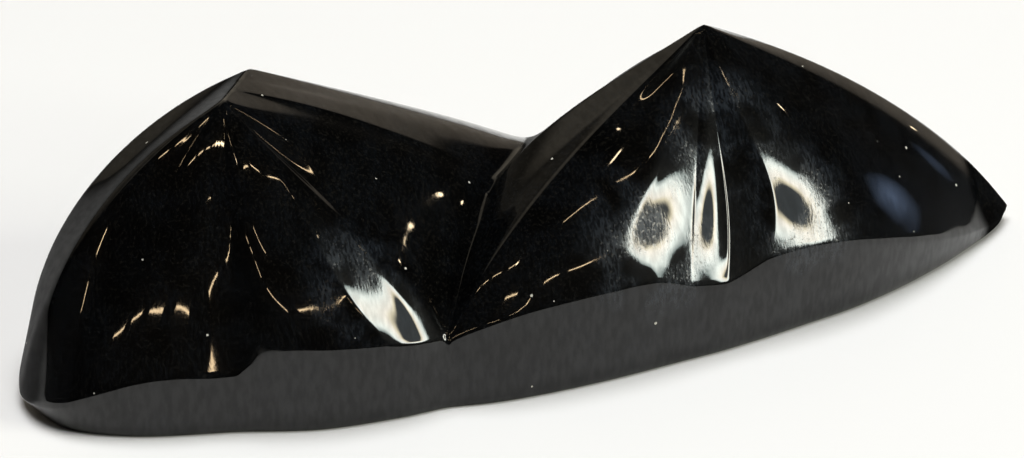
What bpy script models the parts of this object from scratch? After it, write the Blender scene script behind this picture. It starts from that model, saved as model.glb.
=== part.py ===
"""Polished obsidian chunk, modelled in metres with +Z up.

The stone is one solid piece of volcanic glass. It rests on a flat sawn base, a smooth band runs
round it, and above the band's rim two sharp-peaked humps meet in a diagonal valley. Each hump is
a fan of long facets, scoops and ridges that spread from its crest down to the rim, as the glass
splits when it is struck. The fans, the band and the base are built as one coarse cage, and a
Subdivision Surface with creases on the ridges gives the flowing, polished form.

Sizes are in millimetres until the cage is finished, then scaled to metres.
X runs along the stone, Y from its front to its back, and the base lies on Z = 0.
"""

from dataclasses import dataclass
from math import cos, radians, sin

import bmesh
import bpy
from mathutils import Matrix, Vector

MM = 0.001
NAME = "obsidian_chunk"

RINGS = 8  # cage rows from a crest down to the rim
HANDLE = 0.36  # how much of a rib's length its two end slopes steer
CREST_STEPS = 3  # cage edges along each hump's short crest
BAND_ROWS = 2  # cage rows from the rim down to the base
BASE_ROUND = 0.8  # radius of the worn edge between the band and the base
SUBDIVISIONS = 1
SAME_POINT = 1e-3  # cage points closer than this are one

SWING_SCALE = 27 / 4  # makes the peak of t**2 (1 - t), two thirds down a rib, one
NUDGE = 0.01  # the step, in ribs or in shares of a rib, over which a direction is read
STAND_SCALE = 1.87  # makes the peak of t**1.5 (1 - t**6), three quarters down a rib, one

GLASS_COLOUR = (0.0035, 0.0033, 0.0031, 1.0)
GLASS_ROUGHNESS = 0.08

CREST_SHARP = 0.9
BASE_SHARP = 1.0


@dataclass
class Rib:
    """One line of a fan, from the hump's crest down to the rim or to the valley."""

    foot: tuple  # where it ends, in mm
    fall: tuple  # its slope in degrees where it leaves the crest and where it reaches its foot
    crest: float = 0.0  # where it starts on the crest, from 0 at the front end to 1 at the back
    swing: float = 0.0  # how far its middle bows round the hump, in mm
    stand: float = 0.0  # how far it stands out of the fan in mm, or lies sunk in it if negative
    sharp: float = 0.0  # crease along it, from 0 for rounded over to 1 for a hard edge
    columns: int = 2  # cage columns from this rib to the next
    scoop: float = 0.0  # how deep the panel from this rib to the next is hollowed, in mm
    lean: float = 0.4  # how far the band leans in from the rim to the base here, in mm
    edge: float = 0.6  # crease of the rim from this rib to the next


# The valley between the humps, from its foot at the front rim to its foot at the back rim.
VALLEY = (
    (-24.7, -21.2, 9.9),
    (-18.9, -13.5, 15.9),
    (-11.5, -5.0, 21.2),
    (-8.0, -1.5, 21.9),
    (-1.0, 5.0, 22.7),
    (5.0, 16.0, 18.0),
    (8.0, 26.0, 9.0),
)

# The left hump, as seen from the front. Its ribs go round by the back, the left end and the front,
# then up the valley.
LEFT_CREST = ((-47.6, -1.0, 40.5), (-38.7, 12.0, 38.6))
LEFT_RIM = (
    Rib(foot=VALLEY[-1], fall=(32, 42), crest=1.0),
    Rib(foot=(-8.0, 27.0, 11.0), fall=(30, 62), crest=1.0, sharp=0.5, scoop=1.0),
    Rib(foot=(-26.0, 27.0, 9.0), fall=(30, 68), crest=1.0, sharp=0.3),
    Rib(foot=(-44.0, 24.5, 12.0), fall=(28, 70), crest=1.0, sharp=0.6, scoop=1.0),
    Rib(foot=(-59.0, 20.0, 9.0), fall=(24, 74), crest=1.0),
    Rib(foot=(-71.6, 12.6, 4.0), fall=(11, 88), crest=1.0, sharp=0.9, columns=3, scoop=0.5, lean=0.8),
    Rib(foot=(-76.2, 3.0, 1.8), fall=(28, 78), sharp=0.3, lean=1.2),
    Rib(foot=(-75.8, -3.6, 3.0), fall=(36, 70), lean=1.2, edge=0.5),
    Rib(foot=(-72.9, -8.6, 4.8), fall=(42, 65), sharp=0.3, lean=1.0, edge=0.4),
    Rib(foot=(-65.6, -13.0, 8.0), fall=(42, 67), edge=0.5),
    Rib(foot=(-59.3, -15.4, 8.6), fall=(42, 69), scoop=0.3),
    Rib(foot=(-52.8, -17.4, 8.5), fall=(42, 74), sharp=0.5, stand=-0.3),
    Rib(foot=(-49.2, -19.0, 11.5), fall=(40, 77), stand=0.15),
    Rib(foot=(-42.5, -21.6, 11.9), fall=(40, 64), stand=0.4, scoop=0.25),
    Rib(
        foot=(-33.3, -22.7, 11.1), fall=(41, 62), swing=-2.0, stand=0.55, sharp=0.8, columns=3, scoop=0.25
    ),
    Rib(foot=(-28.4, -22.3, 10.4), fall=(41, 65), stand=-0.1, scoop=0.1, lean=-0.1),
)
LEFT_VALLEY = (
    Rib(foot=VALLEY[0], fall=(46, 65), columns=3, edge=0.5, lean=-1.1),
    Rib(foot=VALLEY[1], fall=(30, 50), edge=0.4),
    Rib(foot=VALLEY[2], fall=(23, 39), crest=0.1, edge=0.0),
    Rib(foot=VALLEY[3], fall=(16, 30), crest=0.3, stand=0.5, sharp=0.6, edge=0.0),
    Rib(foot=VALLEY[4], fall=(20, 25), crest=0.7, edge=0.0),
    Rib(foot=VALLEY[5], fall=(24, 27), crest=1.0, sharp=0.9, stand=0.3, edge=0.2),
)

# The right hump. Its ribs go round by the front, the tip and the back, then down the valley.
RIGHT_CREST = ((21.7, -4.0, 40.6), (28.0, 4.0, 36.2))
RIGHT_RIM = (
    Rib(foot=VALLEY[0], fall=(27, 56), lean=-1.1),
    Rib(foot=(-16.9, -24.1, 12.6), fall=(38, 59), lean=0.0),
    Rib(foot=(-2.6, -24.8, 13.3), fall=(46, 66), stand=0.1),
    Rib(foot=(5.2, -24.3, 13.0), fall=(50, 68), swing=-2.8, stand=-0.1, sharp=0.9, columns=3),
    Rib(foot=(10.2, -23.9, 11.3), fall=(51, 70), stand=-0.25, sharp=0.6, columns=4, scoop=-0.35),
    Rib(
        foot=(15.9, -23.5, 10.6), fall=(52, 70), swing=1.0, stand=-0.5, sharp=0.6, columns=3, scoop=0.1
    ),
    Rib(foot=(22.5, -22.6, 12.3), fall=(49, 64), swing=2.5, stand=0.45, sharp=0.8),
    Rib(foot=(31.1, -21.8, 12.5), fall=(50, 64), stand=0.3, lean=1.2),
    Rib(foot=(40.8, -19.9, 10.6), fall=(46, 65), lean=1.2),
    Rib(foot=(53.4, -15.2, 6.4), fall=(41, 63), lean=0.9),
    Rib(foot=(66.0, -8.4, 2.8), fall=(33, 57)),
    Rib(foot=(74.3, -2.0, 2.2), fall=(23, 47), crest=0.3, sharp=0.9, stand=0.9),
    Rib(foot=(69.0, 6.0, 5.0), fall=(37, 60), crest=0.7),
    Rib(foot=(55.0, 14.5, 8.0), fall=(38, 62), crest=1.0, sharp=0.5, scoop=0.8),
    Rib(foot=(40.0, 20.0, 11.0), fall=(22, 68), crest=1.0, sharp=0.4, scoop=1.2),
    Rib(foot=(24.0, 24.5, 9.0), fall=(22, 68), crest=1.0, sharp=0.5),
)
RIGHT_VALLEY = (
    Rib(foot=VALLEY[6], fall=(26, 56), crest=1.0),
    Rib(foot=VALLEY[5], fall=(29, 46), crest=1.0),
    Rib(foot=VALLEY[4], fall=(27, 40), crest=0.6),
    Rib(foot=VALLEY[3], fall=(24, 46), crest=0.3),
    Rib(foot=VALLEY[2], fall=(24, 44), sharp=0.6, stand=1.0),
    Rib(foot=VALLEY[1], fall=(25, 46), columns=3),
)


@dataclass
class Column:
    """One line of cage points from a crest to the rim or the valley, with what its edges need."""

    points: list
    sharp: float
    edge: float
    lean: float


def clear_scene():
    for thing in list(bpy.data.objects):
        bpy.data.objects.remove(thing)


def blend(a, b, share):
    return a + (b - a) * share


def curve_point(points, place):
    """The point of the smooth open curve through the given points, at a place counted in spans."""
    span = min(max(int(place), 0), len(points) - 2)
    s = place - span
    start, end = Vector(points[span]), Vector(points[span + 1])
    before = Vector(points[span - 1]) if span else start * 2 - end
    after = Vector(points[span + 2]) if span + 2 < len(points) else end * 2 - start
    length = (end - start).length
    leave = (end - before) / ((start - before).length + length) * length
    arrive = (after - start) / ((after - end).length + length) * length
    return (
        start * (2 * s**3 - 3 * s**2 + 1)
        + leave * (s**3 - 2 * s**2 + s)
        + end * (3 * s**2 - 2 * s**3)
        + arrive * (s**3 - s**2)
    )


class Fan:
    """The smooth surface of one hump, before its ribs are raised or sunk.

    A place on it is counted in ribs round the hump, and t runs from 0 on the crest to 1 at the foot.
    """

    def __init__(self, rim, valley, crest):
        self.ribs = rim + valley
        self.on_rim = len(rim)
        self.crest = [Vector(end) for end in crest]
        self.rim_feet = [rib.foot for rib in rim] + [valley[0].foot]
        self.valley_feet = [rib.foot for rib in valley] + [rim[0].foot]

    def foot(self, place):
        if place < self.on_rim:
            return curve_point(self.rim_feet, place)
        return curve_point(self.valley_feet, place - self.on_rim)

    def value(self, name, place):
        """A rib's number read between two ribs."""
        rib = int(place // 1)
        here, after = (getattr(self.ribs[(rib + k) % len(self.ribs)], name) for k in (0, 1))
        return blend(here, after, place - rib)

    def fall(self, place):
        rib = int(place // 1)
        here, after = (self.ribs[(rib + k) % len(self.ribs)].fall for k in (0, 1))
        return [radians(blend(a, b, place - rib)) for a, b in zip(here, after)]

    def point(self, head, place, t):
        foot = self.foot(place)
        run = Vector((foot.x - head.x, foot.y - head.y, 0)).normalized()
        reach = (foot - head).length * HANDLE
        leave, arrive = (run * cos(a) - Vector((0, 0, sin(a))) for a in self.fall(place))
        knots = (head, head + leave * reach, foot - arrive * reach, foot)
        return (
            knots[0] * (1 - t) ** 3
            + knots[1] * 3 * t * (1 - t) ** 2
            + knots[2] * 3 * t**2 * (1 - t)
            + knots[3] * t**3
        )

    def line(self, head, place, swing, stand):
        """Points down one rib: it bows round the hump by swing, and stands out of it by stand."""
        width = (self.point(head, place + 0.1, 2 / 3) - self.point(head, place - 0.1, 2 / 3)).length
        turn = swing * 0.2 / width
        points = []
        for ring in range(RINGS + 1):
            t = ring / RINGS
            at = place + turn * SWING_SCALE * t**2 * (1 - t)
            along = self.point(head, at + NUDGE, t) - self.point(head, at - NUDGE, t)
            down = self.point(head, at, t + NUDGE) - self.point(head, at, t - NUDGE)
            out = down.cross(along).normalized()
            if out.z < 0:
                out = -out
            relief = STAND_SCALE * t**1.5 * (1 - t**6)
            points.append(self.point(head, at, t) + out * stand * relief)
        return points


def fan_columns(rim, valley, crest):
    """The cage columns of one hump, all the way round it."""
    fan = Fan(rim, valley, crest)
    front, back = fan.crest
    columns = []
    for number, rib in enumerate(fan.ribs):
        for step in range(rib.columns):
            share = step / rib.columns
            place = number + share
            along = round(fan.value("crest", place) * CREST_STEPS) / CREST_STEPS
            head = blend(front, back, along)
            scoop = rib.scoop * 4 * share * (1 - share)
            columns.append(
                Column(
                    points=fan.line(
                        head, place, fan.value("swing", place), fan.value("stand", place) - scoop
                    ),
                    sharp=0.0 if step else rib.sharp,
                    edge=fan.value("edge", place),
                    lean=fan.value("lean", place),
                )
            )
    return columns


def band_columns(columns):
    """Columns from the rim down to the base, each leaning in by its own amount."""
    count = len(columns)
    band = []
    for i, column in enumerate(columns):
        rim = column.points[-1]
        along = columns[(i + 1) % count].points[-1] - columns[i - 1].points[-1]
        out = Vector((along.y, -along.x, 0)).normalized()
        low = rim - out * column.lean
        low.z = BASE_ROUND
        points = [blend(rim, low, row / BAND_ROWS) for row in range(BAND_ROWS + 1)]
        last = low - out * BASE_ROUND
        points.append(Vector((last.x, last.y, 0)))
        band.append(points)
    return band


def build_cage():
    left = fan_columns(LEFT_RIM, LEFT_VALLEY, LEFT_CREST)
    right = fan_columns(RIGHT_RIM, RIGHT_VALLEY, RIGHT_CREST)
    left_rim = left[: sum(rib.columns for rib in LEFT_RIM)]
    right_rim = right[: sum(rib.columns for rib in RIGHT_RIM)]
    return left, right, left_rim + right_rim


def add_quads(cage, columns):
    """Join neighbouring columns of points all round with quads. Returns the grid of points."""
    grid = [[cage.verts.new(point) for point in column] for column in columns]
    for here, beside in zip(grid, grid[1:] + grid[:1]):
        for row in range(len(here) - 1):
            cage.faces.new((here[row], here[row + 1], beside[row + 1], beside[row]))
    return grid


def crease(cage, a, b, value):
    """Set how sharp the edge between two cage points stays."""
    layer = cage.edges.layers.float["crease_edge"]
    cage.edges.get((a, b))[layer] = value


def stone_mesh():
    left, right, rim = build_cage()
    cage = bmesh.new()
    cage.edges.layers.float.new("crease_edge")
    for columns in (left, right):
        grid = add_quads(cage, [column.points for column in columns])
        for column, line, beside in zip(columns, grid, grid[1:] + grid[:1]):
            crease(cage, line[0], beside[0], CREST_SHARP)
            crease(cage, line[-1], beside[-1], column.edge)
            for a, b in zip(line, line[1:]):
                crease(cage, a, b, column.sharp)
    band = add_quads(cage, band_columns(rim))
    for column, line, beside in zip(rim, band, band[1:] + band[:1]):
        crease(cage, line[0], beside[0], column.edge)
        crease(cage, line[-1], beside[-1], BASE_SHARP)
    cage.faces.new([line[-1] for line in band])
    bmesh.ops.remove_doubles(cage, verts=cage.verts, dist=SAME_POINT)
    bmesh.ops.recalc_face_normals(cage, faces=cage.faces)
    bmesh.ops.scale(cage, vec=(MM, MM, MM), verts=cage.verts)
    mesh = bpy.data.meshes.new(NAME)
    cage.to_mesh(mesh)
    cage.free()
    return mesh


def glass_material():
    material = bpy.data.materials.new("black_obsidian")
    material.use_nodes = True
    shader = material.node_tree.nodes["Principled BSDF"]
    shader.inputs["Base Color"].default_value = GLASS_COLOUR
    shader.inputs["Roughness"].default_value = GLASS_ROUGHNESS
    shader.inputs["Metallic"].default_value = 0.0
    material.diffuse_color = GLASS_COLOUR
    return material


def centre_over_origin(stone):
    """Move the cage so that the finished form's box is centred over the origin in plan."""
    form = stone.evaluated_get(bpy.context.evaluated_depsgraph_get())
    points = [vertex.co for vertex in form.data.vertices]
    middle = [
        (min(point[axis] for point in points) + max(point[axis] for point in points)) / 2
        for axis in (0, 1)
    ]
    stone.data.transform(Matrix.Translation((-middle[0], -middle[1], 0)))


def build():
    clear_scene()
    collection = bpy.data.collections.new(NAME)
    bpy.context.scene.collection.children.link(collection)
    mesh = stone_mesh()
    mesh.materials.append(glass_material())
    mesh.shade_smooth()
    stone = bpy.data.objects.new(NAME, mesh)
    collection.objects.link(stone)
    surface = stone.modifiers.new("Polished form", "SUBSURF")
    surface.levels = SUBDIVISIONS
    surface.render_levels = SUBDIVISIONS
    centre_over_origin(stone)
    return stone


build()
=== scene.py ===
# %% [markdown]
# # A polished chunk of obsidian
#
# Obsidian is lava that cooled too fast to grow crystals, so it is a natural glass: nearly black,
# glossy, and with no grain to guide a break. A blow sends a shock wave through it that splits it
# along curved, shell-like surfaces, which is why this chunk has two humps that each open out from a
# sharp crest like a fan. The maker sawed the base flat, ground a smooth band round the foot, and
# polished the rest, so the old split faces now shine.
#
# The notebook builds the stone in the same order: the fans, the band and base, the fine relief that
# polishing left behind, the glass itself, and then a small photo table with its room and lamps.

# %% The frame that the finished piece has to fit
from dataclasses import dataclass
from math import cos, radians, sin

import bmesh
import bpy
import numpy as np
from mathutils import Matrix, Vector


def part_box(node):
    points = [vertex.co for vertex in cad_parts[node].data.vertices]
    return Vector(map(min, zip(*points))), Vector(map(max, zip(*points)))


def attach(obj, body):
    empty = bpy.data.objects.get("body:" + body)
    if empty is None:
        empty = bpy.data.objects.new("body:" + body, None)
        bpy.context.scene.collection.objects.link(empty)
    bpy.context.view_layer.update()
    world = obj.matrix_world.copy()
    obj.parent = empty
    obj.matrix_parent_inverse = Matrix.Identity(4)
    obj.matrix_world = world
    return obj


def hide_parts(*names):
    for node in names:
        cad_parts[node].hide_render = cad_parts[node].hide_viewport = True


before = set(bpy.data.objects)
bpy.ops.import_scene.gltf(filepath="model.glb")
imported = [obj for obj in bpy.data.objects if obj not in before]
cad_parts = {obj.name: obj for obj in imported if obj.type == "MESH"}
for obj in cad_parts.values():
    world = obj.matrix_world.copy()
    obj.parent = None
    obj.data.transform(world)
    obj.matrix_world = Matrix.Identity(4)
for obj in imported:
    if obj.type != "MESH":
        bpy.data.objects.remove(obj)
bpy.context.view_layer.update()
box_low, box_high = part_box("obsidian_chunk")
MM = 0.001
size = (box_high - box_low) / MM
print(f"frame: {size.x:.1f} x {size.y:.1f} x {size.z:.1f} mm")

# %% [markdown]
# ## Helpers
#
# A colour is easiest to pick as the sRGB code that a screen shows, but a shader works in linear
# light, so one function turns the first into the second. Another adds a node and wires it in one
# call, which keeps each material short enough to be read from top to bottom.


# %% Small helpers
def linear(code):
    """An sRGB colour such as "#4a4640" as the linear colour that shaders take."""
    shares = [int(code[i : i + 2], 16) / 255 for i in (1, 3, 5)]
    colour = [s / 12.92 if s <= 0.04045 else ((s + 0.055) / 1.055) ** 2.4 for s in shares]
    return (*colour, 1.0)


def add_node(tree, kind, inputs=None, **settings):
    """Add a node, set its properties, and fill or link its inputs by name or by number."""
    node = tree.nodes.new(kind)
    for name, value in settings.items():
        setattr(node, name, value)
    for key, value in (inputs or {}).items():
        if isinstance(value, bpy.types.NodeSocket):
            tree.links.new(value, node.inputs[key])
        else:
            node.inputs[key].default_value = value
    return node


def blend(a, b, share):
    """The value or point between a and b, where 0 is a and 1 is b."""
    return a + (b - a) * share


print("helpers: linear, add_node, blend")

# %% [markdown]
# ## The fans
#
# Each hump is drawn as ribs, which are the lines a finger would follow from the crest down to the
# rim. A rib keeps its foot, its slope at the top and at the foot, and whether it is a sharp ridge,
# a soft ridge or the floor of a scoop. The panel between two ribs is then stretched over them and
# may be hollowed a little, as shell-like breaks are. Sculpting could give the same look, but here
# one number steepens one facet and leaves the others alone.

# %% How finely the coarse cage is drawn
ROWS_DOWN = 8  # cage rows from a crest down to the rim
HANDLE = 0.36  # how much of a rib's length its two end slopes steer
CREST_STEPS = 3  # cage edges along each hump's short crest
BAND_ROWS = 2  # cage rows from the rim down to the base
BASE_ROUND = 0.8  # radius of the worn edge between the band and the base
SUBDIVISIONS = 3
SAME_POINT = 1e-3  # cage points closer than this are one
MARGIN = 0.03 * MM  # the room left between the finished stone and the solid model's box

SWING_PEAK = 2 / 3  # how far down a rib its swing is widest
SWING_SCALE = 27 / 4  # makes t**2 (1 - t) one at that peak
STAND_SCALE = 1.87  # makes the peak of t**1.5 (1 - t**6), three quarters down a rib, one
NUDGE = 0.01  # the step, in ribs or in shares of a rib, over which a direction is read
BESIDE = 0.1  # the step, in ribs to either side, over which a fan's width is measured
CREST_SHARP = 0.9  # crease along a hump's crest, as a rib's sharp
BASE_SHARP = 1.0  # crease where the worn edge meets the base
print(f"cage rows: {ROWS_DOWN} down each hump and {BAND_ROWS} down the band")


# %% The ribs of both humps
@dataclass
class Rib:
    """One line of a fan, from the hump's crest down to the rim or to the valley."""

    foot: tuple  # where it ends, in mm
    fall: tuple  # its slope in degrees where it leaves the crest and where it reaches its foot
    crest: float = 0.0  # where it starts on the crest, from 0 at the front end to 1 at the back
    swing: float = 0.0  # how far its middle bows round the hump, in mm
    stand: float = 0.0  # how far it stands out of the fan in mm, or lies sunk in it if negative
    sharp: float = 0.0  # crease along it, from 0 for rounded over to 1 for a hard edge
    columns: int = 2  # cage columns from this rib to the next
    scoop: float = 0.0  # how deep the panel from this rib to the next is hollowed, in mm
    lean: float = 0.4  # how far the band leans in from the rim to the base here, in mm
    edge: float = 0.6  # crease of the rim from this rib to the next


# The valley between the humps, from its foot at the front rim to its foot at the back rim.
VALLEY = (
    (-24.7, -21.2, 9.9),
    (-18.9, -13.5, 15.9),
    (-11.5, -5.0, 21.2),
    (-8.0, -1.5, 21.9),
    (-1.0, 5.0, 22.7),
    (5.0, 16.0, 18.0),
    (8.0, 26.0, 9.0),
)

# The left hump, as seen from the front. Its ribs go round by the back, the left end and the front,
# then up the valley.
LEFT_CREST = ((-47.6, -1.0, 40.5), (-38.7, 12.0, 38.6))
LEFT_RIM = (
    Rib(foot=VALLEY[-1], fall=(32, 42), crest=1.0),
    Rib(foot=(-8.0, 27.0, 11.0), fall=(30, 62), crest=1.0, sharp=0.5, scoop=1.0),
    Rib(foot=(-26.0, 27.0, 9.0), fall=(30, 68), crest=1.0, sharp=0.3),
    Rib(foot=(-44.0, 24.5, 12.0), fall=(28, 70), crest=1.0, sharp=0.6, scoop=1.0),
    Rib(foot=(-59.0, 20.0, 9.0), fall=(24, 74), crest=1.0),
    Rib(
        foot=(-71.6, 12.6, 4.0), fall=(11, 88), crest=1.0, sharp=0.9, columns=3, scoop=0.5, lean=0.8
    ),
    Rib(foot=(-76.2, 3.0, 1.8), fall=(28, 78), sharp=0.3, lean=1.2),
    Rib(foot=(-75.8, -3.6, 3.0), fall=(36, 70), lean=1.2, edge=0.5),
    Rib(foot=(-72.9, -8.6, 4.8), fall=(42, 65), sharp=0.3, lean=1.0, edge=0.4),
    Rib(foot=(-65.6, -13.0, 8.0), fall=(42, 67), edge=0.5),
    Rib(foot=(-59.3, -15.4, 8.6), fall=(42, 69), scoop=0.3),
    Rib(foot=(-52.8, -17.4, 8.5), fall=(42, 74), sharp=0.5, stand=-0.3),
    Rib(foot=(-49.2, -19.0, 11.5), fall=(40, 77), stand=0.15),
    Rib(foot=(-42.5, -21.6, 11.9), fall=(40, 64), stand=0.4, scoop=0.25),
    Rib(
        foot=(-33.3, -22.7, 11.1),
        fall=(41, 62),
        swing=-2.0,
        stand=0.55,
        sharp=0.8,
        columns=3,
        scoop=0.25,
    ),
    Rib(foot=(-28.4, -22.3, 10.4), fall=(41, 65), stand=-0.1, scoop=0.1, lean=-0.1),
)
LEFT_VALLEY = (
    Rib(foot=VALLEY[0], fall=(46, 65), columns=3, edge=0.5, lean=-1.1),
    Rib(foot=VALLEY[1], fall=(30, 50), edge=0.4),
    Rib(foot=VALLEY[2], fall=(23, 39), crest=0.1, edge=0.0),
    Rib(foot=VALLEY[3], fall=(16, 30), crest=0.3, stand=0.5, sharp=0.6, edge=0.0),
    Rib(foot=VALLEY[4], fall=(20, 25), crest=0.7, edge=0.0),
    Rib(foot=VALLEY[5], fall=(24, 27), crest=1.0, sharp=0.9, stand=0.3, edge=0.2),
)

# The right hump. Its ribs go round by the front, the tip and the back, then down the valley.
RIGHT_CREST = ((21.7, -4.0, 40.6), (28.0, 4.0, 36.2))
RIGHT_RIM = (
    Rib(foot=VALLEY[0], fall=(27, 56), lean=-1.1),
    Rib(foot=(-16.9, -24.1, 12.6), fall=(38, 59), lean=0.0),
    Rib(foot=(-2.6, -24.8, 13.3), fall=(46, 66), stand=0.1),
    Rib(foot=(5.2, -24.3, 13.0), fall=(50, 68), swing=-2.8, stand=-0.1, sharp=0.9, columns=3),
    Rib(foot=(10.2, -23.9, 11.3), fall=(51, 70), stand=-0.25, sharp=0.6, columns=4, scoop=-0.35),
    Rib(
        foot=(15.9, -23.5, 10.6),
        fall=(52, 70),
        swing=1.0,
        stand=-0.5,
        sharp=0.6,
        columns=3,
        scoop=0.1,
    ),
    Rib(foot=(22.5, -22.6, 12.3), fall=(49, 64), swing=2.5, stand=0.45, sharp=0.8),
    Rib(foot=(31.1, -21.8, 12.5), fall=(50, 64), stand=0.3, lean=1.2),
    Rib(foot=(40.8, -19.9, 10.6), fall=(46, 65), lean=1.2),
    Rib(foot=(53.4, -15.2, 6.4), fall=(41, 63), lean=0.9),
    Rib(foot=(66.0, -8.4, 2.8), fall=(33, 57)),
    Rib(foot=(74.3, -2.0, 2.2), fall=(23, 47), crest=0.3, sharp=0.9, stand=0.9),
    Rib(foot=(69.0, 6.0, 5.0), fall=(37, 60), crest=0.7),
    Rib(foot=(55.0, 14.5, 8.0), fall=(38, 62), crest=1.0, sharp=0.5, scoop=0.8),
    Rib(foot=(40.0, 20.0, 11.0), fall=(22, 68), crest=1.0, sharp=0.4, scoop=1.2),
    Rib(foot=(24.0, 24.5, 9.0), fall=(22, 68), crest=1.0, sharp=0.5),
)
RIGHT_VALLEY = (
    Rib(foot=VALLEY[6], fall=(26, 56), crest=1.0),
    Rib(foot=VALLEY[5], fall=(29, 46), crest=1.0),
    Rib(foot=VALLEY[4], fall=(27, 40), crest=0.6),
    Rib(foot=VALLEY[3], fall=(24, 46), crest=0.3),
    Rib(foot=VALLEY[2], fall=(24, 44), sharp=0.6, stand=1.0),
    Rib(foot=VALLEY[1], fall=(25, 46), columns=3),
)
left_count = len(LEFT_RIM + LEFT_VALLEY)
right_count = len(RIGHT_RIM + RIGHT_VALLEY)
print(f"ribs: {left_count} on the left hump, {right_count} on the right")


# %% The surface of one hump
def curve_point(points, place):
    """The point of the smooth open curve through the given points, at a place counted in spans."""
    span = min(max(int(place), 0), len(points) - 2)
    s = place - span
    start, end = Vector(points[span]), Vector(points[span + 1])
    before = Vector(points[span - 1]) if span else start * 2 - end
    after = Vector(points[span + 2]) if span + 2 < len(points) else end * 2 - start
    length = (end - start).length
    leave = (end - before) / ((start - before).length + length) * length
    arrive = (after - start) / ((after - end).length + length) * length
    return (
        start * (2 * s**3 - 3 * s**2 + 1)
        + leave * (s**3 - 2 * s**2 + s)
        + end * (3 * s**2 - 2 * s**3)
        + arrive * (s**3 - s**2)
    )


class Fan:
    """The smooth surface of one hump, before its ribs are raised or sunk.

    A place on it is counted in ribs round the hump, and t runs from 0 on the crest to 1 at the
    foot.
    """

    def __init__(self, rim, valley, crest):
        self.ribs = rim + valley
        self.on_rim = len(rim)
        self.crest = [Vector(end) for end in crest]
        self.rim_feet = [rib.foot for rib in rim] + [valley[0].foot]
        self.valley_feet = [rib.foot for rib in valley] + [rim[0].foot]

    def foot(self, place):
        """The point where the fan ends at a place, on the rim or in the valley."""
        if place < self.on_rim:
            return curve_point(self.rim_feet, place)
        return curve_point(self.valley_feet, place - self.on_rim)

    def value(self, name, place):
        """A rib's number read between two ribs."""
        rib = int(place // 1)
        here, after = (getattr(self.ribs[(rib + k) % len(self.ribs)], name) for k in (0, 1))
        return blend(here, after, place - rib)

    def fall(self, place):
        """The slopes at the crest and at the foot, read between two ribs, in radians."""
        rib = int(place // 1)
        here, after = (self.ribs[(rib + k) % len(self.ribs)].fall for k in (0, 1))
        return [radians(blend(a, b, place - rib)) for a, b in zip(here, after)]

    def point(self, head, place, t):
        """The point at t on the curve from a head on the crest to the foot at a place."""
        foot = self.foot(place)
        run = Vector((foot.x - head.x, foot.y - head.y, 0)).normalized()
        reach = (foot - head).length * HANDLE
        leave, arrive = (run * cos(a) - Vector((0, 0, sin(a))) for a in self.fall(place))
        knots = (head, head + leave * reach, foot - arrive * reach, foot)
        return (
            knots[0] * (1 - t) ** 3
            + knots[1] * 3 * t * (1 - t) ** 2
            + knots[2] * 3 * t**2 * (1 - t)
            + knots[3] * t**3
        )

    def line(self, head, place, swing, stand):
        """Points down one rib: it bows round the hump by swing, and stands out of it by stand."""
        after, before = (self.point(head, place + step, SWING_PEAK) for step in (BESIDE, -BESIDE))
        turn = swing * 2 * BESIDE / (after - before).length
        points = []
        for row in range(ROWS_DOWN + 1):
            t = row / ROWS_DOWN
            at = place + turn * SWING_SCALE * t**2 * (1 - t)
            along = self.point(head, at + NUDGE, t) - self.point(head, at - NUDGE, t)
            down = self.point(head, at, t + NUDGE) - self.point(head, at, t - NUDGE)
            out = down.cross(along).normalized()
            if out.z < 0:
                out = -out
            relief = STAND_SCALE * t**1.5 * (1 - t**6)
            points.append(self.point(head, at, t) + out * stand * relief)
        return points


# %% [markdown]
# ## The cage
#
# A cage is a coarse mesh that a smooth one is later drawn from. Each rib, and each place between
# two ribs, gives one column of its points from the crest to the foot, and quads join the columns.
# The band is carried down from the same rim points, and both humps share the points of the valley,
# so the stone is one closed piece. An edge that has to stay crisp after rounding gets a crease.


# %% Cage columns from the crests to the rim, and from the rim to the base
@dataclass
class Column:
    """One line of cage points from a crest to the rim or the valley, with what its edges need."""

    points: list
    sharp: float
    edge: float
    lean: float


def fan_columns(rim, valley, crest):
    """The cage columns of one hump, all the way round it."""
    fan = Fan(rim, valley, crest)
    front, back = fan.crest
    columns = []
    for number, rib in enumerate(fan.ribs):
        for step in range(rib.columns):
            share = step / rib.columns
            place = number + share
            along = round(fan.value("crest", place) * CREST_STEPS) / CREST_STEPS
            head = blend(front, back, along)
            scoop = rib.scoop * 4 * share * (1 - share)
            columns.append(
                Column(
                    points=fan.line(
                        head, place, fan.value("swing", place), fan.value("stand", place) - scoop
                    ),
                    sharp=0.0 if step else rib.sharp,
                    edge=fan.value("edge", place),
                    lean=fan.value("lean", place),
                )
            )
    return columns


def band_columns(columns):
    """Columns from the rim down to the base, each leaning in by its own amount."""
    count = len(columns)
    band = []
    for i, column in enumerate(columns):
        rim = column.points[-1]
        along = columns[(i + 1) % count].points[-1] - columns[i - 1].points[-1]
        out = Vector((along.y, -along.x, 0)).normalized()
        low = rim - out * column.lean
        low.z = BASE_ROUND
        points = [blend(rim, low, row / BAND_ROWS) for row in range(BAND_ROWS + 1)]
        last = low - out * BASE_ROUND
        points.append(Vector((last.x, last.y, 0)))
        band.append(points)
    return band


def stone_columns():
    """The columns of the left hump, of the right hump, and of the rim round both."""
    left = fan_columns(LEFT_RIM, LEFT_VALLEY, LEFT_CREST)
    right = fan_columns(RIGHT_RIM, RIGHT_VALLEY, RIGHT_CREST)
    left_rim = left[: sum(rib.columns for rib in LEFT_RIM)]
    right_rim = right[: sum(rib.columns for rib in RIGHT_RIM)]
    return left, right, left_rim + right_rim


print("columns: fan_columns, band_columns")


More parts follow.
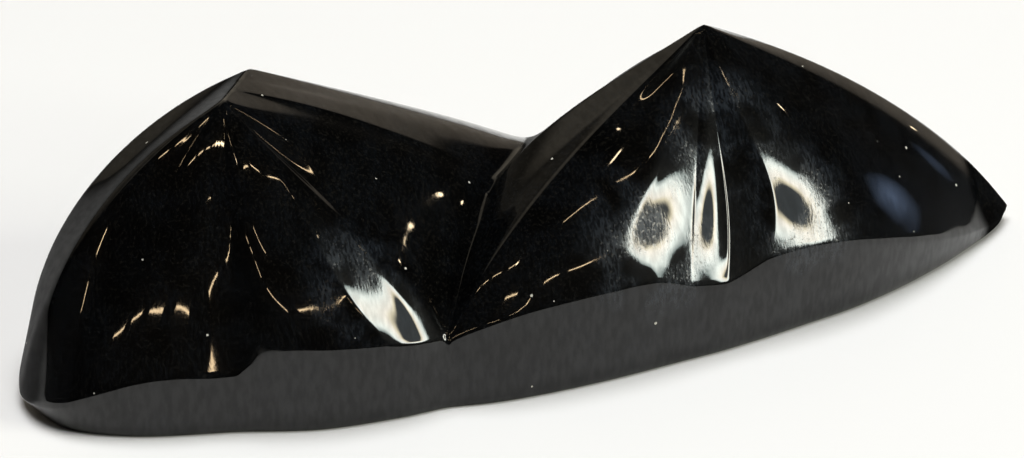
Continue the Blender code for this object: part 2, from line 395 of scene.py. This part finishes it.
# %% The cage as a mesh
def add_quads(cage, columns):
    """Join neighbouring columns of points all round with quads. Returns the grid of points."""
    grid = [[cage.verts.new(point) for point in column] for column in columns]
    for here, beside in zip(grid, grid[1:] + grid[:1]):
        for row in range(len(here) - 1):
            cage.faces.new((here[row], here[row + 1], beside[row + 1], beside[row]))
    return grid


def crease(cage, a, b, value):
    """Set how sharp the edge between two cage points stays."""
    layer = cage.edges.layers.float["crease_edge"]
    cage.edges.get((a, b))[layer] = value


def cage_mesh():
    """The closed cage of the whole stone, in metres, with its creases."""
    left, right, rim = stone_columns()
    cage = bmesh.new()
    cage.edges.layers.float.new("crease_edge")
    for columns in (left, right):
        grid = add_quads(cage, [column.points for column in columns])
        for column, line, beside in zip(columns, grid, grid[1:] + grid[:1]):
            crease(cage, line[0], beside[0], CREST_SHARP)
            crease(cage, line[-1], beside[-1], column.edge)
            for a, b in zip(line, line[1:]):
                crease(cage, a, b, column.sharp)
    band = add_quads(cage, band_columns(rim))
    for column, line, beside in zip(rim, band, band[1:] + band[:1]):
        crease(cage, line[0], beside[0], column.edge)
        crease(cage, line[-1], beside[-1], BASE_SHARP)
    cage.faces.new([line[-1] for line in band])
    bmesh.ops.remove_doubles(cage, verts=cage.verts, dist=SAME_POINT)
    bmesh.ops.recalc_face_normals(cage, faces=cage.faces)
    bmesh.ops.scale(cage, vec=(MM, MM, MM), verts=cage.verts)
    mesh = bpy.data.meshes.new("cage")
    cage.to_mesh(mesh)
    cage.free()
    return mesh


cage = bpy.data.objects.new("obsidian_cage", cage_mesh())
bpy.context.scene.collection.objects.link(cage)
print(f"cage: {len(cage.data.vertices)} points, {len(cage.data.polygons)} faces")

# %% [markdown]
# ## From the cage to a flowing surface
#
# Catmull-Clark subdivision rounds the cage over everywhere except along creased edges, which stay
# as crisp as the ridges that polishing has not quite worn away. The result is moved as a whole so
# that it stands where the solid model stands.


# %% Subdivide the cage
def mesh_points(mesh):
    """The mesh's points as rows of x, y and z."""
    values = np.empty(len(mesh.vertices) * 3)
    mesh.vertices.foreach_get("co", values)
    return values.reshape(-1, 3)


def applied(thing):
    """The object's evaluated mesh as a plain one, with its modifiers taken off."""
    graph = bpy.context.evaluated_depsgraph_get()
    mesh = bpy.data.meshes.new_from_object(thing.evaluated_get(graph), depsgraph=graph)
    thing.modifiers.clear()
    return mesh


def fitted(points, low, high):
    """The stretch and the move that put points inside a box, standing on its floor."""
    spans = points.max(0) - points.min(0)
    room = np.array(high) - np.array(low) - MARGIN * np.array((2, 2, 1))
    scales = np.minimum(1.0, room / spans)
    moves = (np.array(low) + np.array(high)) / 2 - scales * (points.min(0) + points.max(0)) / 2
    moves[2] = low[2] - scales[2] * points[:, 2].min()
    return Matrix.Translation(moves) @ Matrix.Diagonal((*scales, 1.0))


rounding = cage.modifiers.new("Polished form", "SUBSURF")
rounding.levels = SUBDIVISIONS
rounding.render_levels = SUBDIVISIONS
form = applied(cage)
bpy.data.objects.remove(cage)
form.name = "obsidian_form"
form.transform(fitted(mesh_points(form), box_low, box_high))
points = mesh_points(form)
stone = bpy.data.objects.new("obsidian_stone", form)
bpy.context.scene.collection.objects.link(stone)
print(f"form: {len(form.polygons)} faces, {np.ptp(points, axis=0).round(4) / MM} mm")

# %% [markdown]
# ## What polishing leaves behind
#
# Tumbling and buffing take the bite off a split face but do not make it optically flat. Faint
# waves still run round the point where the blow landed, and they make reflections wander. The waves
# follow a rule, so Geometry Nodes draws them: each point of the surface is pushed along its normal
# by a sine of its distance from a strike point, and a noise lets the waves come and go.


# %% Ripples that spread from a strike point
FLAT_BELOW = 2 * MM  # the base and its worn edge stay as they are
RIPPLES_FADE = (0.4, 0.65)  # the noise values between which the ripples come in


def group_input(tree, name, kind, value):
    """Add an input to a node group. Returns the key by which a modifier sets it."""
    socket = tree.interface.new_socket(name=name, in_out="INPUT", socket_type=kind)
    socket.default_value = value
    return socket.identifier


def ripple_tree(material):
    """A Geometry Nodes tree that ripples a surface and coats it, and the keys of its inputs."""
    tree = bpy.data.node_groups.new("Strike ripples", "GeometryNodeTree")
    tree.interface.new_socket(name="Geometry", in_out="INPUT", socket_type="NodeSocketGeometry")
    tree.interface.new_socket(name="Geometry", in_out="OUTPUT", socket_type="NodeSocketGeometry")
    names = {
        "Strike point": group_input(tree, "Strike point", "NodeSocketVector", (0, 0, 0)),
        "Wavelength": group_input(tree, "Wavelength", "NodeSocketFloat", 0.004),
        "Height": group_input(tree, "Height", "NodeSocketFloat", 0.00001),
        "Patch size": group_input(tree, "Patch size", "NodeSocketFloat", 0.02),
        "Seed": group_input(tree, "Seed", "NodeSocketFloat", 1.0),
    }
    start = add_node(tree, "NodeGroupInput")
    place = add_node(tree, "GeometryNodeInputPosition").outputs["Position"]
    away = add_node(
        tree,
        "ShaderNodeVectorMath",
        {0: place, 1: start.outputs["Strike point"]},
        operation="DISTANCE",
    ).outputs["Value"]
    turns = add_node(
        tree, "ShaderNodeMath", {0: away, 1: start.outputs["Wavelength"]}, operation="DIVIDE"
    ).outputs[0]
    angle = add_node(
        tree, "ShaderNodeMath", {0: turns, 1: 2 * np.pi}, operation="MULTIPLY"
    ).outputs[0]
    wave = add_node(tree, "ShaderNodeMath", {0: angle}, operation="SINE").outputs[0]
    grain = add_node(
        tree, "ShaderNodeMath", {0: 1.0, 1: start.outputs["Patch size"]}, operation="DIVIDE"
    ).outputs[0]
    patches = add_node(
        tree,
        "ShaderNodeTexNoise",
        {
            "Vector": place,
            "W": start.outputs["Seed"],
            "Scale": grain,
            "Detail": 1.0,
        },
        noise_dimensions="4D",
    ).outputs[0]
    mask = add_node(
        tree,
        "ShaderNodeMapRange",
        {"Value": patches, "From Min": RIPPLES_FADE[0], "From Max": RIPPLES_FADE[1]},
    ).outputs[0]
    shaped = add_node(tree, "ShaderNodeMath", {0: wave, 1: mask}, operation="MULTIPLY").outputs[0]
    lift = add_node(
        tree, "ShaderNodeMath", {0: shaped, 1: start.outputs["Height"]}, operation="MULTIPLY"
    ).outputs[0]
    normal = add_node(tree, "GeometryNodeInputNormal").outputs["Normal"]
    offset = add_node(
        tree, "ShaderNodeVectorMath", {0: normal, "Scale": lift}, operation="SCALE"
    ).outputs["Vector"]
    height = add_node(tree, "ShaderNodeSeparateXYZ", {0: place}).outputs["Z"]
    above = add_node(
        tree, "FunctionNodeCompare", {0: height, 1: FLAT_BELOW}, operation="GREATER_THAN"
    ).outputs[0]
    moved = add_node(
        tree,
        "GeometryNodeSetPosition",
        {"Geometry": start.outputs["Geometry"], "Selection": above, "Offset": offset},
    ).outputs["Geometry"]
    real = add_node(tree, "GeometryNodeRealizeInstances", {0: moved}).outputs[0]
    coated = add_node(
        tree, "GeometryNodeSetMaterial", {"Geometry": real, "Material": material}
    ).outputs["Geometry"]
    add_node(tree, "NodeGroupOutput", {"Geometry": coated})
    return tree, names


print("ripple_tree: pushes a surface up and down in rings round a strike point")

# %% [markdown]
# ## The glass
#
# Obsidian takes almost all the light that enters it, so its own colour is close to black and nearly
# everything the eye reads is reflection. The buffed skin is a coat with a mirror-sharp gloss. Under
# it lies a faint wide haze, from scratches too fine to see.
#
# A plain black gloss would look like plastic, so three patterns break it up. Hackle, a field of
# tiny strokes that point away from the blow, stays a little dull where the buff could not reach it,
# and it frays the edge of a highlight. Where it is thick the black is also painted lighter and
# bluer, a painted sheen that stands in for lamp light scattered round the highlights. A fine grain
# of dust lightens the black unevenly, and a few pale specks lie anywhere. The patterns are computed
# from the place on the stone and not taken from an image, so they need no picture and stay sharp
# close up.


# %% Patterns on the glass
PATCH_CORE = 0.35  # the share of a patch's radius within which it has its full strength
BARE_CELLS = 0.55  # the share of cells that get no speck


def multiplied(tree, a, b):
    return add_node(tree, "ShaderNodeMath", {0: a, 1: b}, operation="MULTIPLY").outputs[0]


def larger(tree, a, b):
    return add_node(tree, "ShaderNodeMath", {0: a, 1: b}, operation="MAXIMUM").outputs[0]


def mixed(tree, share, a, b):
    """The colour between a and b, where a share of 0 is a and 1 is b."""
    return add_node(tree, "ShaderNodeMix", {0: share, 6: a, 7: b}, data_type="RGBA").outputs[2]


def mapped(tree, value, start, end, low=0.0, high=1.0):
    """Low where a value is at its start or before it, high at its end or after it."""
    return add_node(
        tree,
        "ShaderNodeMapRange",
        {"Value": value, "From Min": start, "From Max": end, "To Min": low, "To Max": high},
        interpolation_type="SMOOTHSTEP",
    ).outputs[0]


def noise(tree, place, per_metre, detail=2.0):
    """Smooth noise with values round 0.5, and about so many of its blobs in a metre."""
    return add_node(
        tree, "ShaderNodeTexNoise", {"Vector": place, "Scale": per_metre, "Detail": detail}
    ).outputs[0]


def stretched(tree, place, factors):
    """Coordinates that run faster along some axes, so that spots on them become strokes."""
    return add_node(
        tree, "ShaderNodeVectorMath", {0: place, 1: factors}, operation="MULTIPLY"
    ).outputs[0]


def facing(tree, towards):
    """How squarely the surface faces a direction: the dot product of its normal with it."""
    normal = add_node(tree, "ShaderNodeTexCoord").outputs["Normal"]
    return add_node(
        tree, "ShaderNodeVectorMath", {0: normal, 1: towards}, operation="DOT_PRODUCT"
    ).outputs["Value"]


def patch(tree, place, centre, radius):
    """1 round the centre of a patch of the surface, fading to 0 at its radius. Both are in mm."""
    away = add_node(
        tree, "ShaderNodeVectorMath", {0: place, 1: Vector(centre) * MM}, operation="DISTANCE"
    ).outputs["Value"]
    return mapped(tree, away, radius * MM, radius * PATCH_CORE * MM)


def specks(tree, place, cell, size):
    """A few round spots, at most one to each cell of the given width, of different sizes."""
    cells = add_node(tree, "ShaderNodeTexVoronoi", {"Vector": place, "Scale": 1 / cell})
    chance = add_node(tree, "ShaderNodeSeparateXYZ", {0: cells.outputs["Color"]}).outputs["X"]
    reach = mapped(tree, chance, BARE_CELLS, 1.0, high=size / cell)
    return add_node(
        tree, "ShaderNodeMath", {0: cells.outputs["Distance"], 1: reach}, operation="LESS_THAN"
    ).outputs[0]


print("patterns: noise, facing, patch, specks")


# %% Hackle strokes
# The patches also mark where the black is painted lighter and bluer: a painted sheen for the lamp
# light that the strokes scatter round the highlights.
HACKLE_AND_SHEEN_PATCHES = (  # where the strokes are thick: centre and radius in mm
    ((21, -15, 29), 12),
    ((-34, -19, 19), 11),
    ((6, -22, 18), 14),
    ((31, -20, 17), 12),
)
THIN_HACKLE = 0.12  # how thick they are elsewhere
CLOUDS_PER_METRE = 160.0
STROKES_PER_METRE = 950.0
STROKE_STRETCH = (3.2, 1.2, 1.0)  # narrow along x, so that the strokes run down the faces
STROKE_DETAIL = 5.0  # how many finer noises are added, for frayed edges


def hackle(tree, place):
    """How thick the strokes lie in a place, from 0 to 1, and the strokes themselves."""
    # How thick the strokes lie is also how strongly the painted sheen lightens the black.
    thick = THIN_HACKLE
    for centre, radius in HACKLE_AND_SHEEN_PATCHES:
        thick = larger(tree, thick, patch(tree, place, centre, radius))
    clouds = mapped(tree, noise(tree, place, CLOUDS_PER_METRE), 0.35, 0.6)
    strokes_place = stretched(tree, place, STROKE_STRETCH)
    strokes = noise(tree, strokes_place, STROKES_PER_METRE, STROKE_DETAIL)
    return multiplied(tree, thick, clouds), strokes


print(f"hackle: thick in {len(HACKLE_AND_SHEEN_PATCHES)} patches")

# %% [markdown]
# ## Where the gloss is turned down
#
# With a full gloss everywhere, the left end, the slopes behind the crests and the thin tip mirror
# the white table and the pale wall, and look too bright for so black a stone from the front left.
# How the real ones were finished is not known. Their gloss is turned down for the look alone, by the
# direction of the surface normal and, at the tip, by place. The cost is a plain black tip from above
# and from behind: darker things for it to reflect would be truer, and more work to place.


# %% How glossy each face is
BEHIND_CRESTS = (-0.6, 0.8, 0.3)  # direction of the left end and of the slopes behind the crests
STEEP_BACK = (0.0, 1.0, -0.5)
WEAK_GLOSS = 0.2  # on the slopes behind the crests
BACK_GLOSS = 0.9
TIP = (76, -3, 6)  # the pointed end, in mm
TIP_RADIUS = 14  # of the part that is turned down, in mm
TIP_GLOSS = 0.02
SLOPES_FADE = (0.4, 0.56)  # the gloss changes between faces that lie this squarely that way
BACK_FADE = (0.35, 0.6)


def gloss(tree, place):
    """How strong the gloss is in each place, from 0 to 1."""
    slopes = mapped(tree, facing(tree, BEHIND_CRESTS), *SLOPES_FADE, low=1.0, high=WEAK_GLOSS)
    back = mapped(tree, facing(tree, STEEP_BACK), *BACK_FADE, high=BACK_GLOSS)
    tip = mapped(tree, patch(tree, place, TIP, TIP_RADIUS), 0.0, 0.5, low=1.0, high=TIP_GLOSS)
    return multiplied(tree, larger(tree, slopes, back), tip)


print(f"gloss: turned down within {TIP_RADIUS} mm of the tip")


# %% Polished obsidian volcanic glass
GLASS_IOR = 1.49  # obsidian bends light about as window glass does
MIRROR_ROUGHNESS = 0.03
DULL_ROUGHNESS = 0.3
THIN_HAZE = 0.03
THICK_HAZE = 0.1
STROKE_HEIGHT = 0.012 * MM
DUST_PER_METRE = 2600.0
SPECK_CELL = 3.0 * MM
SPECK_SIZE = 0.22 * MM
GRIND_PER_METRE = 420.0
GRIND_STRETCH = (3.0, 1.0, 1.0)  # narrow along x, so that the marks run down the faces


def polished_obsidian():
    material = bpy.data.materials.new("polished obsidian volcanic glass")
    material.use_nodes = True
    tree = material.node_tree
    shader = tree.nodes["Principled BSDF"]
    shader.inputs["Metallic"].default_value = 0.0
    shader.inputs["IOR"].default_value = GLASS_IOR
    shader.inputs["Roughness"].default_value = DULL_ROUGHNESS
    shader.inputs["Coat IOR"].default_value = GLASS_IOR
    place = add_node(tree, "ShaderNodeTexCoord").outputs["Object"]
    hackle_and_sheen, strokes = hackle(tree, place)
    dusty = mapped(tree, noise(tree, place, DUST_PER_METRE, 1.0), 0.5, 0.75)
    speck = specks(tree, place, SPECK_CELL, SPECK_SIZE)
    glossy = gloss(tree, place)

    # Where hackle is thick the black is painted lighter and bluer, a painted sheen that stands in
    # for lamp light scattered round the highlights. The black is grainy with dust all over. Specks
    # are pale.
    painted_sheen = multiplied(tree, mapped(tree, strokes, 0.35, 0.7, low=0.2), hackle_and_sheen)
    black = mixed(tree, dusty, linear("#020202"), linear("#0f0e0c"))
    black_with_painted_sheen = mixed(tree, painted_sheen, black, linear("#23282e"))
    colour = mixed(tree, speck, black_with_painted_sheen, linear("#b9b7ad"))
    tree.links.new(colour, shader.inputs["Base Color"])

    # Strokes bump the coat, and dust on them roughens it, so the edge of a highlight frays.
    bumps = multiplied(tree, strokes, hackle_and_sheen)
    normal = add_node(
        tree, "ShaderNodeBump", {"Height": bumps, "Strength": 1.0, "Distance": STROKE_HEIGHT}
    ).outputs[0]
    tree.links.new(normal, shader.inputs["Coat Normal"])
    dulled = larger(tree, multiplied(tree, dusty, hackle_and_sheen), multiplied(tree, hackle_and_sheen, 0.3))
    rough = mapped(tree, dulled, 0.0, 1.0, low=MIRROR_ROUGHNESS, high=DULL_ROUGHNESS)
    tree.links.new(rough, shader.inputs["Coat Roughness"])

    # The coat follows the gloss, is a little uneven from grinding, and nearly gone on specks.
    grind = noise(tree, stretched(tree, place, GRIND_STRETCH), GRIND_PER_METRE)
    even = mapped(tree, grind, 0.3, 0.7, low=0.78)
    clean = mapped(tree, speck, 0.0, 1.0, low=1.0, high=0.1)
    coat = multiplied(tree, multiplied(tree, even, glossy), clean)
    tree.links.new(coat, shader.inputs["Coat Weight"])

    # The wide haze under the coat follows the strokes where hackle is thick.
    streaky = multiplied(tree, mapped(tree, strokes, 0.38, 0.62, low=0.1), hackle_and_sheen)
    frosted = mapped(tree, streaky, 0.0, 0.8, low=THIN_HAZE, high=THICK_HAZE)
    haze = multiplied(tree, mapped(tree, glossy, WEAK_GLOSS, 1.0), frosted)
    tree.links.new(haze, shader.inputs["Specular IOR Level"])
    return material


obsidian = polished_obsidian()
print(f"material: {obsidian.name}, {len(obsidian.node_tree.nodes)} nodes")


# %% Ripple the stone and shade it
RIPPLES = {  # lengths in metres
    "Strike point": (0.021, -0.004, 0.040),  # at the right hump's peak
    "Wavelength": 5.0 * MM,
    "Height": 0.006 * MM,
    "Patch size": 22.0 * MM,
    "Seed": 3.0,
}
tree, names = ripple_tree(obsidian)
ripples = stone.modifiers.new("Strike ripples", "NODES")
ripples.node_group = tree
for name, value in RIPPLES.items():
    ripples[names[name]] = value
finished = applied(stone)
finished.name = "obsidian_stone"
stone.data = finished
finished.shade_smooth()
print(f"stone: {sum(len(face.vertices) - 2 for face in finished.polygons)} triangles")

# %% [markdown]
# ## The photo table
#
# A black mirror shows its surroundings, so the lighting is part of the look. A matt white table
# fills the band and the lowest faces with soft grey. It is a plain sheet: a curved backdrop would
# show in the stone as a bend.

# %% The table top
TABLE_SIZE = 12  # metres, far past the edge of any view
bpy.ops.mesh.primitive_plane_add(size=TABLE_SIZE)
table = bpy.context.object
table.name = "table_top"
paper = bpy.data.materials.new("matt white paper")
paper.use_nodes = True
paper_shader = paper.node_tree.nodes["Principled BSDF"]
paper_shader.inputs["Base Color"].default_value = linear("#e7e7e7")
paper_shader.inputs["Roughness"].default_value = 1.0
paper_shader.inputs["Specular IOR Level"].default_value = 0.0
table.data.materials.append(paper)
print("table: matt white paper")

# %% [markdown]
# ## The room
#
# The room is the world colour itself, worked out from the direction in which it is seen. It is
# dark, which keeps the high faces black. A low pale wall stands behind the stone on the right and a
# pale sheet hangs high behind it: they are what the slopes behind the crests reflect. Real walls
# would have to be kept out of the picture, and a world colour never gets in the way.


# %% The walls of the room
WALL_TOP = 0.42  # height of the wall's top edge on a sphere of radius 1 round the stone
WALL_FADE = 0.03  # half the height over which that edge fades
SHEET_TOWARDS = (-172, 32)  # azimuth and elevation of its middle
SHEET_RADIUS = 34  # degrees
SHEET_FADE = 4  # degrees on either side of its edge
DARK = "#161617"
WALL = "#978d7f"
SHEET = "#bcb29f"


def direction(azimuth, elevation):
    """A unit vector. Azimuth 0 is in front of the stone, and 90 is to its right."""
    a, e = radians(azimuth), radians(elevation)
    return Vector((sin(a) * cos(e), -cos(a) * cos(e), sin(e)))


def room():
    """A dark room with a low wall at the back on the right, and a round sheet high at the back."""
    world = bpy.data.worlds.new("studio")
    bpy.context.scene.world = world
    world.use_nodes = True
    tree = world.node_tree
    towards = add_node(tree, "ShaderNodeTexCoord").outputs["Generated"]
    parts = add_node(tree, "ShaderNodeSeparateXYZ", {0: towards})
    low = mapped(tree, parts.outputs["Z"], WALL_TOP + WALL_FADE, WALL_TOP - WALL_FADE)
    behind = mapped(tree, parts.outputs["Y"], 0.15, 0.35)
    right = mapped(tree, parts.outputs["X"], 0.0, 0.8)
    wall = multiplied(tree, multiplied(tree, low, behind), right)
    near_sheet = add_node(
        tree,
        "ShaderNodeVectorMath",
        {0: towards, 1: direction(*SHEET_TOWARDS)},
        operation="DOT_PRODUCT",
    ).outputs["Value"]
    outside, inside = (cos(radians(SHEET_RADIUS + fade)) for fade in (SHEET_FADE, -SHEET_FADE))
    sheet = mapped(tree, near_sheet, outside, inside)
    with_wall = mixed(tree, wall, linear(DARK), linear(WALL))
    with_sheet = mixed(tree, sheet, with_wall, linear(SHEET))
    tree.links.new(with_sheet, tree.nodes["Background"].inputs["Color"])
    return world


print(f"room: {room().name}, dark in front and pale behind")

# %% [markdown]
# ## The lamps
#
# One round studio lamp stands to the front right. Its middle is dark and its rim pale, as on a ring
# lamp, so each facet that faces it shows a bright ring with a dark heart. A lamp over the stone
# whitens the table and is hidden from reflections. A small blue window low on the right gives the
# cool patch by the tip. The colours across a lamp are drawn by its own shader, because one lamp is
# less noisy than a ring of small ones.


# %% The lamps
RING_COLOURS = (  # share of the lamp's radius, and the colour there
    (0.48, "#2b3033"),
    (0.57, "#e0d6b8"),
    (0.66, "#fff9ea"),
    (0.88, "#f2f9f0"),
    (1.0, "#7c8986"),
)
WINDOW_COLOURS = ((0.0, "#ffffff"), (0.5, "#c8c8c8"), (1.0, "#000000"))
LAMPS_AIM = (0, 0, 0.02)  # the middle of the stone


def lamp(name, towards, distance, size, power, colour="#ffffff"):
    """A soft light that faces the stone: round for one size, a strip for two.

    It stands towards an azimuth and an elevation in degrees. Distance and size are in metres, and
    power is in watts.
    """
    light = bpy.data.lights.new(name, "AREA")
    if isinstance(size, tuple):
        light.shape = "RECTANGLE"
        light.size, light.size_y = size
    else:
        light.shape = "DISK"
        light.size = size
    light.energy = power
    light.color = linear(colour)[:3]
    thing = bpy.data.objects.new(name, light)
    bpy.context.scene.collection.objects.link(thing)
    back = direction(*towards)
    thing.location = Vector(LAMPS_AIM) + back * distance
    thing.rotation_euler = back.to_track_quat("Z", "Y").to_euler()
    return thing


def shade_round_lamp(thing, colours):
    """Colour a round lamp from its middle out, by (share of its radius, colour) pairs."""
    light = thing.data
    light.use_nodes = True
    tree = light.node_tree
    across = add_node(tree, "ShaderNodeNewGeometry").outputs["Parametric"]
    away = add_node(
        tree, "ShaderNodeVectorMath", {0: across, 1: (0.5, 0.5, 0.0)}, operation="DISTANCE"
    ).outputs["Value"]
    ramp = add_node(tree, "ShaderNodeValToRGB", {0: away})
    stops = ramp.color_ramp.elements
    stops.remove(stops[1])
    for number, (share, colour) in enumerate(colours):
        stop = stops.new(share / 2) if number else stops[0]
        stop.position = share / 2
        stop.color = linear(colour)
    tree.links.new(ramp.outputs[0], tree.nodes["Emission"].inputs["Color"])


ring = lamp("ring_lamp", (45, 20), distance=2.4, size=1.03, power=64)
shade_round_lamp(ring, RING_COLOURS)
ceiling = lamp("ceiling_lamp", (0, 88), distance=1.2, size=1.0, power=16)
ceiling.visible_glossy = False
window = lamp("blue_window", (85, 8), distance=2.4, size=0.5, power=1.1, colour="#b7d3ff")
window.visible_diffuse = False
shade_round_lamp(window, WINDOW_COLOURS)
print("lamps: a ring lamp, a ceiling lamp and a small blue window")

# %% [markdown]
# ## Warm lights
#
# Rows of small warm lamps hang round the room. In a curved black facet a row becomes a thin broken
# streak, and a single bulb becomes a glint. Streaks drawn on the stone would turn with it, and
# reflections do not, so these are real lamps. Matt surfaces do not see them, so the table stays
# white and even.


# %% Warm shop lights
ROWS = (  # each row hangs along a line of (azimuth, elevation) points
    ((-97, 44), (-88, 48), (-70, 52), (-50, 54), (-30, 55)),
    ((5, 57), (36, 55), (46, 51), (56, 48)),
    ((-68, 20), (-59, 21), (-49, 22), (-30, 19), (-11, 14)),
    ((-11, 17), (7, 24), (14, 22), (23, 20)),
    ((-29, 39), (-5, 30)),
    ((-104, 30), (-104, 22), (-101, 15)),
)
BULBS = (  # direction and width in metres
    ((-36, 54.5), 0.065),
    ((46, 66), 0.03),
    ((57, 39), 0.03),
    ((83, 28), 0.03),
    ((108, 9), 0.03),
)
ROW_DISTANCE = 2.0
TUBE_SHARE = 0.6  # how much of its span of a row a tube fills
TUBE_WIDTH = 0.015
TUBE_POWER = 0.8  # watts for each metre of span
BULB_POWER = 100  # watts for each square metre of width squared
TUBE_COLOUR = "#ffdfb0"
BULB_COLOUR = "#ffe6bd"


def tube_lamp(name, start, end):
    """A thin lamp along the line between two directions."""
    span = direction(*start).angle(direction(*end)) * ROW_DISTANCE
    middle = [(a + b) / 2 for a, b in zip(start, end)]
    size = (span * TUBE_SHARE, TUBE_WIDTH)
    tube = lamp(name, middle, ROW_DISTANCE, size, span * TUBE_POWER, TUBE_COLOUR)
    along = direction(*end) - direction(*start)
    back = direction(*middle)
    side = back.cross(along).normalized()
    tube.rotation_euler = Matrix((side.cross(back), side, back)).transposed().to_euler()
    return tube


spans = [ends for row in ROWS for ends in zip(row, row[1:])]
warm = [tube_lamp(f"warm_tube_{number}", *ends) for number, ends in enumerate(spans)]
for number, (towards, width) in enumerate(BULBS):
    power = BULB_POWER * width**2
    warm.append(lamp(f"warm_bulb_{number}", towards, ROW_DISTANCE, width, power, BULB_COLOUR))
for thing in warm:
    thing.visible_diffuse = False
print(f"warm lights: {len(spans)} tubes and {len(BULBS)} bulbs")

# %% [markdown]
# ## The camera
#
# A long lens from the front left and a little above, as for a catalogue picture, keeps the two
# humps in proportion. It has no depth of field, so the whole stone is sharp.


# %% The camera
def aim_camera(towards, distance, lens, target):
    """A camera that looks at a target, in metres, from an azimuth and an elevation."""
    camera = bpy.data.cameras.new("camera")
    camera.sensor_width = 36.0
    camera.lens = lens
    camera.clip_start = 0.01
    camera.dof.use_dof = False
    thing = bpy.data.objects.new("camera", camera)
    bpy.context.scene.collection.objects.link(thing)
    back = direction(*towards)
    thing.location = Vector(target) + back * distance
    thing.rotation_euler = back.to_track_quat("Z", "Y").to_euler()
    bpy.context.scene.camera = thing


bpy.context.scene.view_settings.view_transform = "Standard"
aim_camera((-25, 25), distance=0.5, lens=130.2, target=(-0.0086, -0.01049, 0.018))
print("camera: a long lens, from the front left and a little above")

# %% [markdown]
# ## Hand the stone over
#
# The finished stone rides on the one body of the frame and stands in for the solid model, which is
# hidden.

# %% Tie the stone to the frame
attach(stone, "root")
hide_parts("obsidian_chunk")
